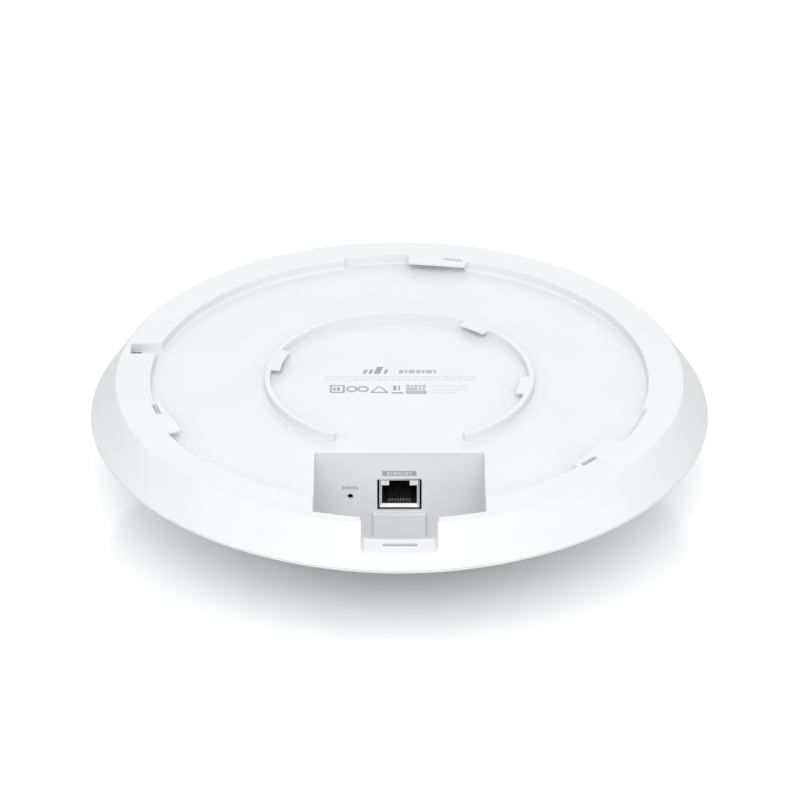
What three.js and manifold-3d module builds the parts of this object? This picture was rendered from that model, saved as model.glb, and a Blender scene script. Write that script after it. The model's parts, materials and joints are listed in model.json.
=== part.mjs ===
// Ceiling access point lying on its front dome, with its rear face and jack pocket up.
// Millimetres. +Z points to the ceiling side, -Y to the jack pocket, and the origin is
// the centre of the flat foot on the front dome.
import * as THREE from "three";
import { mergeVertices } from "three/addons/utils/BufferGeometryUtils.js";
import Module from "manifold-3d";

const wasm = await Module();
wasm.setup();

// ---------- driving dimensions ----------
const GAP = 0.3; // clearance between neighbouring pieces
const ROUND = 72; // segments of the large round pieces
const DOME_STEPS = 8; // straight steps along the dome's arc

// Outer form
const WIDE_RADIUS = 110; // widest edge, where cover and housing meet
const WIDE_HEIGHT = 35; // height of that edge above the foot
const TOTAL_HEIGHT = 48;
const RIM_BAND = 0.4; // upright band of the cover below the parting line
const RING_RADIUS = 101; // outer edge of the rear ring
const RECESS_RADIUS = 88.3; // inner edge of the rear ring
const RECESS_DEPTH = 3.7;
const COVER_WALL = 2.4;
const HOUSING_WALL = 2.2;
const COVER_HOLE_RADIUS = 24; // opening for the light ring

// Jack pocket
const POCKET_HALF_WIDTH = 29.1;
const POCKET_WALL_Y = -49; // upright wall that the jack looks out of
const POCKET_RADIUS = 97.5; // near wall, an arc about the axis
const POCKET_INSET = 5.2; // pocket floor, measured inwards from the dome
const NOTCH_HALF_WIDTH = 12.7;
const LEDGE_HEIGHT = 39.8; // bottom of the cable notch

// Board stack
const BOARD_BOTTOM = 19.8;
const BOARD_THICKNESS = 1.6;
const BOARD_RADIUS = 76;
const BOARD_FRONT_Y = -46.2; // straight edge behind the pocket wall
const PLATE_THICKNESS = 1.6;
const PLATE_RADIUS = 74;
const SINK_RADIUS = 72;
const SINK_BOTTOM = 28;
const SINK_BASE = 2;
const SINK_FRONT_Y = -18;
const SCREW_CIRCLE = 66;
const LONG_SCREW_ANGLES = [0, 60, 120, 180]; // through plate, board and heat sink
const SHORT_SCREW_ANGLES = [225, 315]; // through plate and board

// Network jack
const JACK_HALF_WIDTH = 7;
const JACK_BOTTOM = 21.7;
const JACK_TOP = 33;
const JACK_FRONT_Y = -48.5;
const JACK_BACK_Y = -30;
const CONTACT_PITCH = 1.016;

// ---------- worked-out values ----------
const RECESS_FLOOR = TOTAL_HEIGHT - RECESS_DEPTH;
const CEILING_OF_INSIDE = RECESS_FLOOR - HOUSING_WALL;
const DOME_RISE = WIDE_HEIGHT - RIM_BAND;
const DOME_CENTRE =
  (WIDE_RADIUS ** 2 + DOME_RISE ** 2 - COVER_HOLE_RADIUS ** 2) / (2 * DOME_RISE);
const DOME_RADIUS = Math.hypot(COVER_HOLE_RADIUS, DOME_CENTRE);
const BOARD_TOP = BOARD_BOTTOM + BOARD_THICKNESS;
const PLATE_TOP = BOARD_BOTTOM - GAP;
const PLATE_BOTTOM = PLATE_TOP - PLATE_THICKNESS;
const PARTS_BOTTOM = BOARD_TOP + GAP;
const SINK_BASE_TOP = SINK_BOTTOM + SINK_BASE;

// ---------- materials ----------
function finish(color, roughness, metalness = 0) {
  return new THREE.MeshStandardMaterial({ color, roughness, metalness });
}
const WHITE_PLASTIC = finish(0xf1f3f5, 0.45);
const CLEAR_DIFFUSER = finish(0xeef2f8, 0.3);
const BOARD_GREEN = finish(0x1f5a3a, 0.5);
const BOARD_WHITE = finish(0xe8e8e4, 0.5);
const STEEL = finish(0xc9ccd0, 0.32, 1);
const ALUMINIUM = finish(0xb9bcc0, 0.45, 1);
const ANTENNA_METAL = finish(0xd8d3c6, 0.35, 1);
const GOLD = finish(0xd9b25a, 0.3, 1);
const BLACK_PLASTIC = finish(0x17181a, 0.55);
const CHIP_BLACK = finish(0x202124, 0.6);
const THERMAL_GREY = finish(0x8fa3b8, 0.9);
const COPPER_BROWN = finish(0x4b3a32, 0.6);
const LED_YELLOW = finish(0xf4ecc6, 0.4);
const RIBBON_AMBER = finish(0xc98a3a, 0.5);

// ---------- solids from three.js geometry ----------
// A closed geometry as a manifold solid; triangles that shrink to a line at the axis go.
function toSolid(geometry) {
  const bare = geometry.clone();
  bare.deleteAttribute("normal");
  bare.deleteAttribute("uv");
  const merged = mergeVertices(bare, 1e-4);
  const index = merged.index.array;
  const kept = [];
  for (let i = 0; i < index.length; i += 3) {
    const [a, b, c] = index.slice(i, i + 3);
    if (a !== b && b !== c && c !== a) kept.push(a, b, c);
  }
  const vertProperties = merged.attributes.position.array;
  return new wasm.Manifold(
    new wasm.Mesh({ numProp: 3, vertProperties, triVerts: new Uint32Array(kept) }),
  );
}

function toGeometry(solid) {
  const { vertProperties, triVerts } = solid.getMesh();
  const shared = new THREE.BufferGeometry();
  shared.setAttribute("position", new THREE.BufferAttribute(vertProperties, 3));
  shared.setIndex(new THREE.BufferAttribute(triVerts, 1));
  const faceted = shared.toNonIndexed();
  faceted.computeVertexNormals();
  return faceted;
}

function block(x0, x1, y0, y1, z0, z1) {
  const box = new THREE.BoxGeometry(x1 - x0, y1 - y0, z1 - z0);
  box.translate((x0 + x1) / 2, (y0 + y1) / 2, (z0 + z1) / 2);
  return toSolid(box);
}

function prism(shape, z0, z1, curveSegments = 10) {
  const options = { depth: z1 - z0, bevelEnabled: false, curveSegments };
  return toSolid(new THREE.ExtrudeGeometry(shape, options).translate(0, 0, z0));
}

// An outline of [x, z] points, given anticlockwise, carried from y0 to y1.
function section(shape, y0, y1, curveSegments = 6) {
  const options = { depth: y1 - y0, bevelEnabled: false, curveSegments };
  const geometry = new THREE.ExtrudeGeometry(shape, options);
  return toSolid(geometry.rotateX(Math.PI / 2).translate(0, y1, 0));
}

function polygon(points) {
  return new THREE.Shape(points.map(([x, y]) => new THREE.Vector2(x, y)));
}

function roundedRect(x0, x1, y0, y1, r) {
  const shape = new THREE.Shape();
  shape.moveTo(x0 + r, y0);
  shape.absarc(x1 - r, y0 + r, r, -Math.PI / 2, 0, false);
  shape.absarc(x1 - r, y1 - r, r, 0, Math.PI / 2, false);
  shape.absarc(x0 + r, y1 - r, r, Math.PI / 2, Math.PI, false);
  shape.absarc(x0 + r, y0 + r, r, Math.PI, Math.PI * 1.5, false);
  return shape;
}

// A piece of a flat ring between two radii and two angles in degrees.
function sector(r0, r1, from, to, z0, z1, curveSegments = 8) {
  const [a0, a1] = [from, to].map(THREE.MathUtils.degToRad);
  const shape = new THREE.Shape();
  shape.absarc(0, 0, r1, a0, a1, false);
  shape.absarc(0, 0, r0, a1, a0, true);
  return prism(shape, z0, z1, curveSegments);
}

// [radius, height] points, anticlockwise, turned about the Z axis.
function revolve(outline, segments = ROUND) {
  const onAxis = outline[0][0] === 0 && outline.at(-1)[0] === 0;
  const loop = onAxis ? outline : [...outline, outline[0]];
  const points = loop.map(([r, z]) => new THREE.Vector2(r, z));
  const geometry = new THREE.LatheGeometry(points, segments);
  return toSolid(geometry.rotateX(Math.PI / 2));
}

function disc(radius, z0, z1, segments = ROUND) {
  return revolve([[0, z0], [radius, z0], [radius, z1], [0, z1]], segments);
}

function post(x, y, radius, z0, z1, segments = 12) {
  return disc(radius, z0, z1, segments).translate([x, y, 0]);
}

// A round bar along Y.
function barAlongY(x, z, radius, y0, y1, segments = 16) {
  const bar = new THREE.CylinderGeometry(radius, radius, y1 - y0, segments);
  return toSolid(bar.translate(x, (y0 + y1) / 2, z));
}

function joined(solids) {
  return solids.reduce((whole, next) => whole.add(next));
}

function onCircle(radius, degrees) {
  const angle = THREE.MathUtils.degToRad(degrees);
  return [radius * Math.cos(angle), radius * Math.sin(angle)];
}

// ---------- assembly ----------
const group = new THREE.Group();
group.name = "ceiling_access_point";

function addPart(name, solid, material, parent = group) {
  const mesh = new THREE.Mesh(toGeometry(solid), material);
  mesh.name = name;
  parent.add(mesh);
  return mesh;
}

// Height of the dome's outer surface at radius r, or of a surface inset from it.
function domeHeight(r, inset = 0) {
  return DOME_CENTRE - Math.sqrt((DOME_RADIUS - inset) ** 2 - r * r);
}

function domeArc(from, to, inset, steps) {
  return Array.from({ length: steps + 1 }, (_, i) => {
    const r = from + ((to - from) * i) / steps;
    return [r, domeHeight(r, inset)];
  });
}

// ---------- front dome, light ring and emblem ----------
function frontCover() {
  const innerEdge = 106.4; // where the inner surface meets the rim
  return revolve([
    ...domeArc(COVER_HOLE_RADIUS, WIDE_RADIUS, 0, DOME_STEPS),
    [WIDE_RADIUS, WIDE_HEIGHT],
    [innerEdge + 0.6, WIDE_HEIGHT],
    ...domeArc(innerEdge, COVER_HOLE_RADIUS, COVER_WALL, DOME_STEPS),
  ]);
}

const EMBLEM_RADIUS = 20;
const EMBLEM_THICKNESS = 1.6;
const LIGHT_RING_BACK = 4.6;

function emblemDisc() {
  const chamfer = 0.4;
  return revolve(
    [
      [0, 0],
      [EMBLEM_RADIUS - chamfer, 0],
      [EMBLEM_RADIUS, chamfer],
      [EMBLEM_RADIUS, EMBLEM_THICKNESS],
      [0, EMBLEM_THICKNESS],
    ],
    48,
  );
}

// The ring's lit face sits between cover and emblem, its flange lies behind both.
function lightRing() {
  const flangeFront = domeHeight(28, COVER_WALL) + GAP;
  const shelfFront = EMBLEM_THICKNESS + GAP;
  return revolve(
    [
      [14, shelfFront],
      [EMBLEM_RADIUS + GAP, shelfFront],
      [EMBLEM_RADIUS + GAP, 0.25],
      [COVER_HOLE_RADIUS - GAP, 0.25],
      [COVER_HOLE_RADIUS - GAP, flangeFront],
      [28, flangeFront],
      [28, LIGHT_RING_BACK],
      [14, LIGHT_RING_BACK],
    ],
    48,
  );
}

const LED_COUNT = 8;
const LED_CIRCLE = 22;
const LED_HEIGHT = 0.9;
const LED_BOARD_FRONT = LIGHT_RING_BACK + 2 * GAP + LED_HEIGHT;

function ledBoard() {
  return revolve(
    [
      [15, LED_BOARD_FRONT],
      [27, LED_BOARD_FRONT],
      [27, LED_BOARD_FRONT + 1],
      [15, LED_BOARD_FRONT + 1],
    ],
    36,
  );
}

addPart("front_cover", frontCover(), WHITE_PLASTIC);
addPart("emblem_disc", emblemDisc(), WHITE_PLASTIC);
addPart("light_ring", lightRing(), CLEAR_DIFFUSER);
addPart("led_board", ledBoard(), BOARD_WHITE);
for (let i = 0; i < LED_COUNT; i++) {
  const [x, y] = onCircle(LED_CIRCLE, (i * 360) / LED_COUNT);
  const led = addPart("led_" + (i + 1), block(-1, 1, -0.7, 0.7, 0, LED_HEIGHT), LED_YELLOW);
  led.position.set(x, y, LIGHT_RING_BACK + GAP);
  led.rotation.z = (i * 2 * Math.PI) / LED_COUNT;
}

// ---------- antenna plate and antennas ----------
const RIBBON_Y = 18;
const RIBBON_HALF_WIDTH = 4;

function screwPlaces() {
  return [...LONG_SCREW_ANGLES, ...SHORT_SCREW_ANGLES].map((a) => onCircle(SCREW_CIRCLE, a));
}

const SCREW_CLEARANCE = 1.7;

function boardOutline(radius, z0, z1) {
  const whole = disc(radius, z0, z1);
  return whole.subtract(block(-radius, radius, -radius - 1, BOARD_FRONT_Y, z0 - 1, z1 + 1));
}

function drilled(solid, z0, z1) {
  const holes = screwPlaces().map(([x, y]) => post(x, y, SCREW_CLEARANCE, z0 - 1, z1 + 1));
  return solid.subtract(joined(holes));
}

function antennaPlate() {
  const slot = block(
    -RIBBON_HALF_WIDTH - 0.8,
    RIBBON_HALF_WIDTH + 0.8,
    RIBBON_Y - 1.2,
    RIBBON_Y + 1.2,
    PLATE_BOTTOM - 1,
    PLATE_TOP + 1,
  );
  const plate = boardOutline(PLATE_RADIUS, PLATE_BOTTOM, PLATE_TOP);
  return drilled(plate, PLATE_BOTTOM, PLATE_TOP).subtract(slot);
}

// A stamped antenna: a flat arm towards the dome, standing on a feed leg and a ground leg.
function stampedAntenna(length, width, rise) {
  const sheet = 0.6;
  const arm = block(-length / 2, length / 2, -width / 2, width / 2, -rise, sheet - rise);
  const feed = block(-length / 2, -length / 2 + sheet, -width / 2, width / 2, -rise, 0);
  const groundX = -length / 2 + 4;
  const ground = block(groundX, groundX + sheet, -width / 2, width / 2, -rise, 0);
  return joined([arm, feed, ground]);
}

addPart("antenna_plate", antennaPlate(), ALUMINIUM);
const ANTENNA_BANDS = [
  { name: "antenna_low_band_", circle: 52, length: 24, width: 7, rise: 5 },
  { name: "antenna_high_band_", circle: 37, length: 13, width: 5, rise: 4 },
];
const ANTENNA_ANGLES = [35, 145, 200, 340]; // clear of the jack pocket
for (const band of ANTENNA_BANDS) {
  ANTENNA_ANGLES.forEach((angle, i) => {
    const shape = stampedAntenna(band.length, band.width, band.rise);
    const antenna = addPart(band.name + (i + 1), shape, ANTENNA_METAL);
    const [x, y] = onCircle(band.circle, angle);
    antenna.position.set(x, y, PLATE_BOTTOM - GAP);
    antenna.rotation.z = THREE.MathUtils.degToRad(angle + 90);
  });
}

const ribbonBottom = LED_BOARD_FRONT + 1 + GAP;
const ribbon = block(
  -RIBBON_HALF_WIDTH,
  RIBBON_HALF_WIDTH,
  RIBBON_Y - 0.2,
  RIBBON_Y + 0.2,
  ribbonBottom,
  PLATE_TOP,
);
addPart("led_ribbon", ribbon, RIBBON_AMBER);

// ---------- main board and what stands on it ----------
addPart(
  "main_board",
  drilled(boardOutline(BOARD_RADIUS, BOARD_BOTTOM, BOARD_TOP), BOARD_BOTTOM, BOARD_TOP),
  BOARD_GREEN,
);

// A pressed shielding can, open towards the board, with the chip that it covers.
const CAN_HEIGHT = 3.2;
const SHEET = 0.4;
const CANS = [
  { name: "processor", x: 0, y: 6, width: 30, depth: 28, chip: 17 },
  { name: "radio_left", x: -36, y: 18, width: 30, depth: 26, chip: 12 },
  { name: "radio_right", x: 36, y: 18, width: 30, depth: 26, chip: 12 },
];
function can({ x, y, width, depth }) {
  const top = PARTS_BOTTOM + CAN_HEIGHT;
  const [w, d] = [width / 2, depth / 2];
  const outside = block(x - w, x + w, y - d, y + d, PARTS_BOTTOM, top);
  return outside.subtract(
    block(
      x - w + SHEET,
      x + w - SHEET,
      y - d + SHEET,
      y + d - SHEET,
      PARTS_BOTTOM - 1,
      top - SHEET,
    ),
  );
}
for (const spot of CANS) {
  const { name, x, y, chip } = spot;
  const padFoot = PARTS_BOTTOM + CAN_HEIGHT + GAP;
  const half = chip / 2;
  addPart(name + "_can", can(spot), STEEL);
  addPart(
    name + "_chip",
    block(x - half, x + half, y - half, y + half, PARTS_BOTTOM, PARTS_BOTTOM + 1.4),
    CHIP_BLACK,
  );
  addPart(
    name + "_pad",
    block(x - half, x + half, y - half, y + half, padFoot, SINK_BOTTOM - GAP),
    THERMAL_GREY,
  );
}

addPart(
  "line_transformer",
  block(-8, 8, JACK_BACK_Y + 1, SINK_FRONT_Y - 1, PARTS_BOTTOM, PARTS_BOTTOM + 5.6),
  CHIP_BLACK,
);
addPart(
  "power_inductor",
  prism(roundedRect(28, 40, -36, -24, 2), PARTS_BOTTOM, PARTS_BOTTOM + 6, 3),
  COPPER_BROWN,
);
addPart("bulk_capacitor_1", post(-30, -30, 4, PARTS_BOTTOM, PARTS_BOTTOM + 11), ALUMINIUM);
addPart("bulk_capacitor_2", post(-41, -27, 4, PARTS_BOTTOM, PARTS_BOTTOM + 11), ALUMINIUM);

// ---------- heat sink ----------
const FIN_COUNT = 11;
const FIN_PITCH = 10;
const FIN_HALF_THICKNESS = 0.8;
const FIN_TOP = 39.5;
const FIN_REACH = 58; // the fins end inside the screw circle

function heatSink() {
  const front = block(-80, 80, -80, SINK_FRONT_Y, 0, TOTAL_HEIGHT);
  const base = disc(SINK_RADIUS, SINK_BOTTOM, SINK_BASE_TOP).subtract(front);
  const fins = Array.from({ length: FIN_COUNT }, (_, i) => {
    const x = (i - (FIN_COUNT - 1) / 2) * FIN_PITCH;
    const end = Math.sqrt(FIN_REACH ** 2 - x * x);
    const start = Math.max(-end, SINK_FRONT_Y + 2);
    const [x0, x1] = [x - FIN_HALF_THICKNESS, x + FIN_HALF_THICKNESS];
    return block(x0, x1, start, end, SINK_BASE_TOP - 0.5, FIN_TOP);
  });
  const feet = LONG_SCREW_ANGLES.map((angle) => {
    const [x, y] = onCircle(SCREW_CIRCLE, angle);
    return post(x, y, 3.4, PARTS_BOTTOM, SINK_BOTTOM + 0.5);
  });
  const holes = LONG_SCREW_ANGLES.map((angle) => {
    const [x, y] = onCircle(SCREW_CIRCLE, angle);
    return post(x, y, SCREW_CLEARANCE, PARTS_BOTTOM - 1, SINK_BASE_TOP + 1);
  });
  return joined([base, ...fins, ...feet]).subtract(joined(holes));
}
addPart("heat_sink", heatSink(), ALUMINIUM);

// ---------- screws ----------
const SCREW_RADIUS = 1.25;
const SCREW_HEAD_RADIUS = 2.5;
const SCREW_HEAD = 1.6;
const SCREW_BITE = 6; // length of thread inside a boss

// Head down, driven from the front side before the cover goes on.
function screw(shankTop) {
  const headTop = PLATE_BOTTOM - GAP;
  const headBottom = headTop - SCREW_HEAD;
  const body = revolve(
    [
      [0, headBottom],
      [SCREW_HEAD_RADIUS - 0.4, headBottom],
      [SCREW_HEAD_RADIUS, headBottom + 0.4],
      [SCREW_HEAD_RADIUS, headTop],
      [SCREW_RADIUS, headTop],
      [SCREW_RADIUS, shankTop - 0.8],
      [SCREW_RADIUS / 2, shankTop],
      [0, shankTop],
    ],
    12,
  );
  return body.subtract(disc(1.1, headBottom - 1, headBottom + 1, 6));
}

const LONG_BOSS_BOTTOM = SINK_BASE_TOP + GAP;
const SHORT_BOSS_BOTTOM = BOARD_TOP + GAP;
const SCREWS = [
  ...LONG_SCREW_ANGLES.map((angle) => ({ angle, bossBottom: LONG_BOSS_BOTTOM })),
  ...SHORT_SCREW_ANGLES.map((angle) => ({ angle, bossBottom: SHORT_BOSS_BOTTOM })),
];
SCREWS.forEach(({ angle, bossBottom }, i) => {
  const mesh = addPart("frame_screw_" + (i + 1), screw(bossBottom + SCREW_BITE), STEEL);
  const [x, y] = onCircle(SCREW_CIRCLE, angle);
  mesh.position.set(x, y, 0);
});

// ---------- network jack ----------
const JACK_SHEET = 0.3;
const PORT_HALF_WIDTH = 6.05;
const PORT_BOTTOM = 23.05;
const PORT_SHOULDER = 30.5; // above it are the two light windows and the latch notch
const PORT_END_Y = -35.5;
const LATCH_HALF_WIDTH = 3.55;

function jackShield() {
  const w = JACK_HALF_WIDTH;
  const inner = w - JACK_SHEET;
  const innerTop = JACK_TOP - JACK_SHEET;
  const outside = block(-w, w, JACK_FRONT_Y, JACK_BACK_Y, JACK_BOTTOM, JACK_TOP);
  const room = block(
    -inner,
    inner,
    JACK_FRONT_Y + JACK_SHEET,
    JACK_BACK_Y - JACK_SHEET,
    JACK_BOTTOM + JACK_SHEET,
    innerTop,
  );
  const mouth = polygon([
    [-PORT_HALF_WIDTH, PORT_BOTTOM],
    [PORT_HALF_WIDTH, PORT_BOTTOM],
    [PORT_HALF_WIDTH, PORT_SHOULDER],
    [inner, PORT_SHOULDER],
    [inner, innerTop],
    [-inner, innerTop],
    [-inner, PORT_SHOULDER],
    [-PORT_HALF_WIDTH, PORT_SHOULDER],
  ]);
  return outside.subtract(room).subtract(section(mouth, JACK_FRONT_Y - 1, JACK_FRONT_Y + 1));
}

const INSERT_FRONT_Y = JACK_FRONT_Y + JACK_SHEET + GAP;
const INSERT_HALF_WIDTH = JACK_HALF_WIDTH - JACK_SHEET - GAP;
const INSERT_BOTTOM = JACK_BOTTOM + JACK_SHEET + GAP;
const INSERT_TOP = JACK_TOP - JACK_SHEET - GAP;

function jackInsert() {
  const w = INSERT_HALF_WIDTH;
  const back = JACK_BACK_Y - JACK_SHEET - GAP;
  const whole = block(-w, w, INSERT_FRONT_Y, back, INSERT_BOTTOM, INSERT_TOP);
  const port = block(
    -PORT_HALF_WIDTH,
    PORT_HALF_WIDTH,
    INSERT_FRONT_Y - 1,
    PORT_END_Y,
    PORT_BOTTOM,
    INSERT_TOP + 1,
  );
  const shoulders = block(
    -w - 1,
    w + 1,
    INSERT_FRONT_Y - 1,
    PORT_END_Y,
    PORT_SHOULDER - 0.15,
    INSERT_TOP + 1,
  );
  return whole.subtract(port).subtract(shoulders);
}

function lightWindow() {
  return block(
    LATCH_HALF_WIDTH,
    INSERT_HALF_WIDTH,
    JACK_FRONT_Y + 0.1,
    PORT_END_Y - GAP,
    PORT_SHOULDER + 0.15,
    INSERT_TOP,
  );
}

// One contact spring: a short foot at the mouth, then a wire that climbs towards the back.
const CONTACT_ROOT_Y = -46.6;
const CONTACT_ROOT_Z = 23.9;
const CONTACT_TIP_Y = -37.4;
const CONTACT_TIP_Z = 25.4;
function contactSpring() {
  const thick = 0.35;
  const wire = polygon([
    [CONTACT_ROOT_Y, CONTACT_ROOT_Z - thick],
    [CONTACT_ROOT_Y + 0.6, CONTACT_ROOT_Z - thick],
    [CONTACT_TIP_Y, CONTACT_TIP_Z - thick],
    [CONTACT_TIP_Y, CONTACT_TIP_Z],
    [CONTACT_ROOT_Y + 0.5, CONTACT_ROOT_Z],
    [CONTACT_ROOT_Y, CONTACT_ROOT_Z],
  ]);
  const options = { depth: 0.5, bevelEnabled: false };
  const geometry = new THREE.ExtrudeGeometry(wire, options).translate(0, 0, -0.25);
  return toSolid(geometry.rotateY(Math.PI / 2).rotateX(Math.PI / 2));
}

addPart("jack_shield", jackShield(), STEEL);
addPart("jack_insert", jackInsert(), BLACK_PLASTIC);
addPart("jack_light_right", lightWindow(), CLEAR_DIFFUSER);
addPart("jack_light_left", lightWindow().mirror([1, 0, 0]), CLEAR_DIFFUSER);
for (let i = 0; i < 8; i++) {
  const contact = addPart("jack_contact_" + (i + 1), contactSpring(), GOLD);
  contact.position.x = (i - 3.5) * CONTACT_PITCH;
}

// ---------- reset switch ----------
const RESET_X = -17;
const RESET_Z = 26.5;
const PLUNGER_RADIUS = 1.5;
const PLUNGER_FRONT_Y = -46.5;
const SWITCH_FRONT_Y = -44.2;

function resetSwitch() {
  const body = block(
    RESET_X - 3,
    RESET_X + 3,
    SWITCH_FRONT_Y,
    SWITCH_FRONT_Y + 3.6,
    PARTS_BOTTOM,
    RESET_Z + 3.2,
  );
  const bore = PLUNGER_RADIUS + GAP;
  return body.subtract(
    barAlongY(RESET_X, RESET_Z, bore, SWITCH_FRONT_Y - 1, SWITCH_FRONT_Y + 2.4),
  );
}
addPart("reset_switch", resetSwitch(), CHIP_BLACK);
addPart(
  "reset_button",
  barAlongY(RESET_X, RESET_Z, PLUNGER_RADIUS, PLUNGER_FRONT_Y, SWITCH_FRONT_Y + 1.5),
  BLACK_PLASTIC,
);

// ---------- rear housing ----------
const HOOK_FROM = 73.2; // first bayonet hook, in degrees; the others are a third of a turn on
const HOOK_TO = 87.8;
const HOOK_INNER_RADIUS = 84.8;
const HOOK_THICKNESS = 1;
const ENTRY_TO = 103.5; // end of the setback that lets a bracket's tab in beside the hook
const SETBACK_RADIUS = 90.2;
const RIB_INNER = 46;
const RIB_OUTER = 48;
const RIB_HEIGHT = 3;
const RIB_GAP_HALF_ANGLE = 28.4; // the inner rib is open towards the pocket
const RIB_HOOKS = [
  [157, 175],
  [44, 61],
  [343, 358],
];

function housingShell() {
  return revolve([
    [0, CEILING_OF_INSIDE],
    [92.6, CEILING_OF_INSIDE],
    [92.6, TOTAL_HEIGHT - HOUSING_WALL],
    [99.4, TOTAL_HEIGHT - HOUSING_WALL],
    [107.2, WIDE_HEIGHT + GAP],
    [WIDE_RADIUS - 0.2, WIDE_HEIGHT + GAP],
    [RING_RADIUS + 0.5, TOTAL_HEIGHT - 0.9],
    [RING_RADIUS + 0.1, TOTAL_HEIGHT - 0.25],
    [RING_RADIUS - 0.5, TOTAL_HEIGHT],
    [RECESS_RADIUS + 0.4, TOTAL_HEIGHT],
    [RECESS_RADIUS, TOTAL_HEIGHT - 0.4],
    [RECESS_RADIUS, RECESS_FLOOR + 0.8],
    [RECESS_RADIUS - 0.8, RECESS_FLOOR],
    [0, RECESS_FLOOR],
  ]);
}

// Everything inside the housing's outer surface, to trim pieces added behind it.
function housingEnvelope() {
  return revolve([
    [0, 0],
    [WIDE_RADIUS - 0.2, 0],
    [WIDE_RADIUS - 0.2, WIDE_HEIGHT + GAP],
    [RING_RADIUS + 0.5, TOTAL_HEIGHT - 0.9],
    [RING_RADIUS + 0.1, TOTAL_HEIGHT - 0.25],
    [0, TOTAL_HEIGHT - 0.25],
  ]);
}

// Everything above a surface inset from the dome.
function aboveDome(inset, top) {
  return revolve([...domeArc(0, 104, inset, DOME_STEPS), [104, top], [0, top]]);
}

function innerRib() {
  const [from, to] = [-90 + RIB_GAP_HALF_ANGLE, 270 - RIB_GAP_HALF_ANGLE];
  const ribTop = RECESS_FLOOR + RIB_HEIGHT;
  const ring = sector(RIB_INNER, RIB_OUTER, from, to, RECESS_FLOOR - 0.5, ribTop, 60);
  const hooks = RIB_HOOKS.map(([a, b]) =>
    sector(RIB_INNER - 3.7, RIB_INNER + 0.5, a, b, ribTop - 0.9, ribTop),
  );
  return joined([ring, ...hooks]);
}

function bayonet(turn) {
  const [from, to] = [HOOK_FROM + turn, HOOK_TO + turn];
  const hookBottom = TOTAL_HEIGHT - HOOK_THICKNESS;
  const edge = RECESS_RADIUS - 0.4;
  const above = TOTAL_HEIGHT + 1;
  const entryTo = ENTRY_TO + turn;
  return {
    hook: sector(HOOK_INNER_RADIUS, RECESS_RADIUS + 0.7, from, to, hookBottom, TOTAL_HEIGHT),
    undercut: sector(edge, SETBACK_RADIUS, from, to, RECESS_FLOOR, hookBottom),
    coreSlot: sector(87.7, 89.6, from + 1.2, from + 6.4, hookBottom - 1, above),
    entry: sector(edge, SETBACK_RADIUS, to, entryTo, RECESS_FLOOR, above),
  };
}

function pocketOuter() {
  const w = POCKET_HALF_WIDTH + HOUSING_WALL;
  const back = POCKET_WALL_Y + 2;
  const column = block(-w, w, -105, back, 0, RECESS_FLOOR - 0.5);
  const bowl = aboveDome(POCKET_INSET - HOUSING_WALL, TOTAL_HEIGHT - 0.5);
  const nearWall = disc(POCKET_RADIUS + HOUSING_WALL, 0, TOTAL_HEIGHT - 0.5);
  const upperColumn = block(-w, w, -105, -83.6, RECESS_FLOOR - 1, TOTAL_HEIGHT - 0.5);
  return column.add(upperColumn).intersect(bowl).intersect(nearWall);
}

function pocketInner() {
  const w = POCKET_HALF_WIDTH;
  const column = block(-w, w, -105, POCKET_WALL_Y, 0, TOTAL_HEIGHT + 1);
  const bowl = aboveDome(POCKET_INSET, TOTAL_HEIGHT + 2);
  return column.intersect(bowl).intersect(disc(POCKET_RADIUS, 0, TOTAL_HEIGHT + 2));
}

// The step under the jack that covers the board's edge.
const STEP_TOP = 20.3;
function pocketStep() {
  const step = block(-9.2, 9.2, POCKET_WALL_Y - 1.9, POCKET_WALL_Y + 1, 0, STEP_TOP);
  return step.intersect(aboveDome(POCKET_INSET - 1, TOTAL_HEIGHT));
}

// A notch through the ring for the cable, over a ledge with a slit in it.
function notchBacking() {
  const w = NOTCH_HALF_WIDTH + HOUSING_WALL;
  const behind = block(-w, w, -112, -POCKET_RADIUS, LEDGE_HEIGHT - HOUSING_WALL, 47);
  return behind.intersect(housingEnvelope());
}

function notchCut() {
  const w = NOTCH_HALF_WIDTH;
  return section(roundedRect(-w, w, LEDGE_HEIGHT, TOTAL_HEIGHT + 6, 1.6), -115, -92);
}

// The slot across the ring for a release tool, deeper at its outer end.
const TOOL_SLOT_Y = [14.1, 21.5];
function toolSlotBacking() {
  const [y0, y1] = TOOL_SLOT_Y;
  const wide = block(-99.4, -89, y0 - 2, y1 + 2, CEILING_OF_INSIDE, TOTAL_HEIGHT - 1);
  const deep = block(-99.4, -91.6, y0 - 2, y1 + 2, 38.6, TOTAL_HEIGHT - 1);
  return joined([wide, deep]).intersect(housingEnvelope());
}

function toolSlotCut() {
  const [y0, y1] = TOOL_SLOT_Y;
  const slot = block(-96.6, -85, y0, y1, RECESS_FLOOR, TOTAL_HEIGHT + 1);
  const pit = block(-96.6, -93.4, y0 + 0.5, y1 - 0.5, 40.6, RECESS_FLOOR + 1);
  return slot.add(pit);
}

function screwBosses() {
  return SCREWS.map(({ angle, bossBottom }) => {
    const [x, y] = onCircle(SCREW_CIRCLE, angle);
    const boss = post(x, y, 3.4, bossBottom, CEILING_OF_INSIDE + 0.5);
    const bore = post(x, y, 1.6, bossBottom - 1, bossBottom + SCREW_BITE + 1);
    return boss.subtract(bore);
  });
}

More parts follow.
